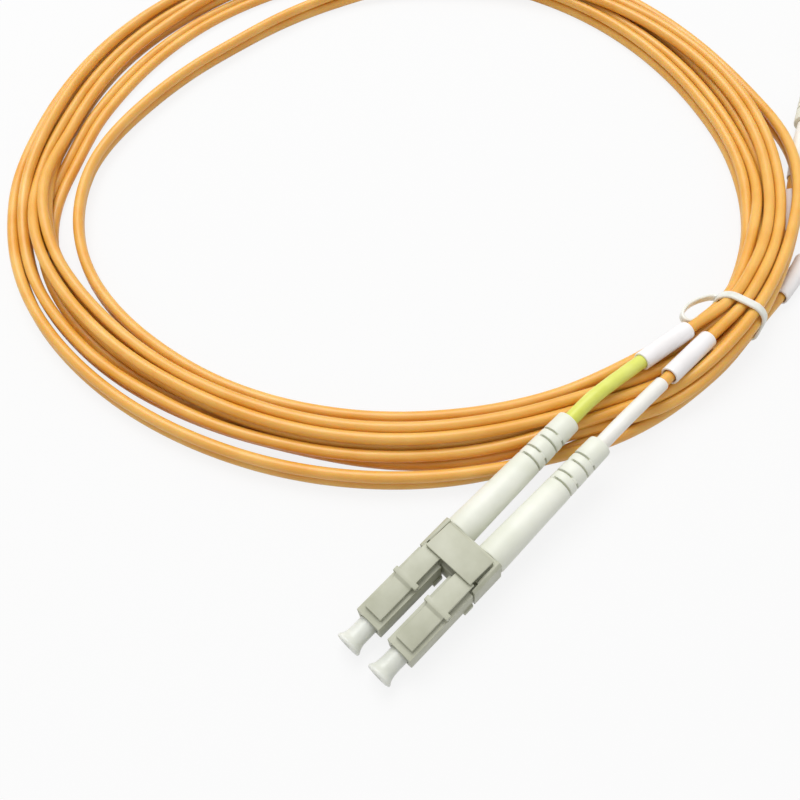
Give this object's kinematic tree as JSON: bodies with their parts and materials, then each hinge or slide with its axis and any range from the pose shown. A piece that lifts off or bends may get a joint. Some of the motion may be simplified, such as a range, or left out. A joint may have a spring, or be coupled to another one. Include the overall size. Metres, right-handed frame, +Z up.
{
  "type": "fibre optic patch cable",
  "caption": "Coiled orange twin fibre patch cable with capped small latching plugs joined by a clip at each end, boots, label sleeves and a twist tie.",
  "frame": {"origin": "middle of the coil on the surface it lies on", "axes": "+Z up; +X along the near twin plug in plan, from its noses towards its boots; +Y from the near plug towards the coil's inside"},
  "size_m": [0.1911, 0.1524, 0.0097],
  "materials": {
    "plug_plastic": "moulded grey-beige plastic with a soft sheen",
    "boot_plastic": "soft off-white moulded plastic",
    "cap_plastic": "soft translucent off-white plastic",
    "zirconia": "polished white ceramic",
    "collar_metal": "turned metal",
    "spring_steel": "drawn spring wire",
    "crimp_metal": "plated metal, crimped",
    "cord_jacket": "orange cord jacket, satin",
    "lime_sleeve": "lime marker sleeve",
    "white_sleeve": "white marker sleeve",
    "label_film": "white label sleeve",
    "tie_coating": "translucent pale plastic over a thin wire"
  },
  "bodies": {
    "cable": {"duplex_clip_near": "plug_plastic", "duplex_clip_far": "plug_plastic", "cord_coil": "cord_jacket", "twist_tie": "tie_coating", "plug_housing_a": "plug_plastic", "ferrule_spring_a": "spring_steel", "crimp_body_a": "crimp_metal", "boot_a": "boot_plastic", "cord_leg_a": "cord_jacket", "marker_sleeve_a": "lime_sleeve", "label_sleeve_a": "label_film", "plug_housing_b": "plug_plastic", "ferrule_spring_b": "spring_steel", "crimp_body_b": "crimp_metal", "boot_b": "boot_plastic", "cord_leg_b": "cord_jacket", "marker_sleeve_b": "white_sleeve", "label_sleeve_b": "label_film", "plug_housing_c": "plug_plastic", "ferrule_spring_c": "spring_steel", "crimp_body_c": "crimp_metal", "boot_c": "boot_plastic", "cord_leg_c": "cord_jacket", "marker_sleeve_c": "lime_sleeve", "label_sleeve_c": "label_film", "plug_housing_d": "plug_plastic", "ferrule_spring_d": "spring_steel", "crimp_body_d": "crimp_metal", "boot_d": "boot_plastic", "cord_leg_d": "cord_jacket", "marker_sleeve_d": "white_sleeve", "label_sleeve_d": "label_film"},
    "near_trigger": {"trigger_near": "plug_plastic"},
    "latch_a": {"latch_lever_a": "plug_plastic"},
    "ferrule_a": {"ferrule_a": "zirconia", "ferrule_collar_a": "collar_metal"},
    "cap_a": {"dust_cap_a": "cap_plastic"},
    "latch_b": {"latch_lever_b": "plug_plastic"},
    "ferrule_b": {"ferrule_b": "zirconia", "ferrule_collar_b": "collar_metal"},
    "cap_b": {"dust_cap_b": "cap_plastic"},
    "far_trigger": {"trigger_far": "plug_plastic"},
    "latch_c": {"latch_lever_c": "plug_plastic"},
    "ferrule_c": {"ferrule_c": "zirconia", "ferrule_collar_c": "collar_metal"},
    "cap_c": {"dust_cap_c": "cap_plastic"},
    "latch_d": {"latch_lever_d": "plug_plastic"},
    "ferrule_d": {"ferrule_d": "zirconia", "ferrule_collar_d": "collar_metal"},
    "cap_d": {"dust_cap_d": "cap_plastic"}
  },
  "joints": [
    {"name": "near_trigger_press", "type": "hinge", "parent": "cable", "child": "near_trigger", "pos_m": [-0.05392, -0.0682, 0.00684], "axis": [0, -1, 0], "range_deg": [0, 9], "stiffness_Nm_per_rad": 0.0005},
    {"name": "latch_a_bend", "type": "hinge", "parent": "cable", "child": "latch_a", "pos_m": [-0.06932, -0.06507, 0.00513], "axis": [0, 1, 0], "range_deg": [0, 3], "stiffness_Nm_per_rad": 0.0005},
    {"name": "ferrule_a_float", "type": "slide", "parent": "cable", "child": "ferrule_a", "axis": [0.9954, 0, 0.0958], "range_m": [0, 0.0006], "stiffness_N_per_m": 2000, "deforming": ["ferrule_spring_a"]},
    {"name": "cap_a_pull", "type": "slide", "parent": "ferrule_a", "child": "cap_a", "axis": [-0.9954, 0, -0.0958], "range_m": [0, 0.0062]},
    {"name": "latch_b_bend", "type": "hinge", "parent": "cable", "child": "latch_b", "pos_m": [-0.06932, -0.07132, 0.00513], "axis": [0, 1, 0], "range_deg": [0, 3], "stiffness_Nm_per_rad": 0.0005},
    {"name": "ferrule_b_float", "type": "slide", "parent": "cable", "child": "ferrule_b", "axis": [0.9954, 0, 0.0958], "range_m": [0, 0.0006], "stiffness_N_per_m": 2000, "deforming": ["ferrule_spring_b"]},
    {"name": "cap_b_pull", "type": "slide", "parent": "ferrule_b", "child": "cap_b", "axis": [-0.9954, 0, -0.0958], "range_m": [0, 0.0062]},
    {"name": "far_trigger_press", "type": "hinge", "parent": "cable", "child": "far_trigger", "pos_m": [0.09267, -0.04566, 0.00522], "axis": [-0.3746, 0.9272, 0], "range_deg": [0, 9], "stiffness_Nm_per_rad": 0.0005},
    {"name": "latch_c_bend", "type": "hinge", "parent": "cable", "child": "latch_c", "pos_m": [0.10822, -0.04275, 0.005], "axis": [0.3746, -0.9272, 0], "range_deg": [0, 3], "stiffness_Nm_per_rad": 0.0005},
    {"name": "ferrule_c_float", "type": "slide", "parent": "cable", "child": "ferrule_c", "axis": [-0.9272, -0.3746, 0], "range_m": [0, 0.0006], "stiffness_N_per_m": 2000, "deforming": ["ferrule_spring_c"]},
    {"name": "cap_c_pull", "type": "slide", "parent": "ferrule_c", "child": "cap_c", "axis": [0.9272, 0.3746, 0], "range_m": [0, 0.0062]},
    {"name": "latch_d_bend", "type": "hinge", "parent": "cable", "child": "latch_d", "pos_m": [0.10587, -0.03695, 0.005], "axis": [0.3746, -0.9272, 0], "range_deg": [0, 3], "stiffness_Nm_per_rad": 0.0005},
    {"name": "ferrule_d_float", "type": "slide", "parent": "cable", "child": "ferrule_d", "axis": [-0.9272, -0.3746, 0], "range_m": [0, 0.0006], "stiffness_N_per_m": 2000, "deforming": ["ferrule_spring_d"]},
    {"name": "cap_d_pull", "type": "slide", "parent": "ferrule_d", "child": "cap_d", "axis": [0.9272, 0.3746, 0], "range_m": [0, 0.0062]}
  ],
  "couplings": [
    {"joint": "latch_a_bend", "follows": "near_trigger_press", "ratio": 0.328},
    {"joint": "latch_b_bend", "follows": "near_trigger_press", "ratio": 0.328},
    {"joint": "latch_c_bend", "follows": "far_trigger_press", "ratio": 0.328},
    {"joint": "latch_d_bend", "follows": "far_trigger_press", "ratio": 0.328}
  ]
}
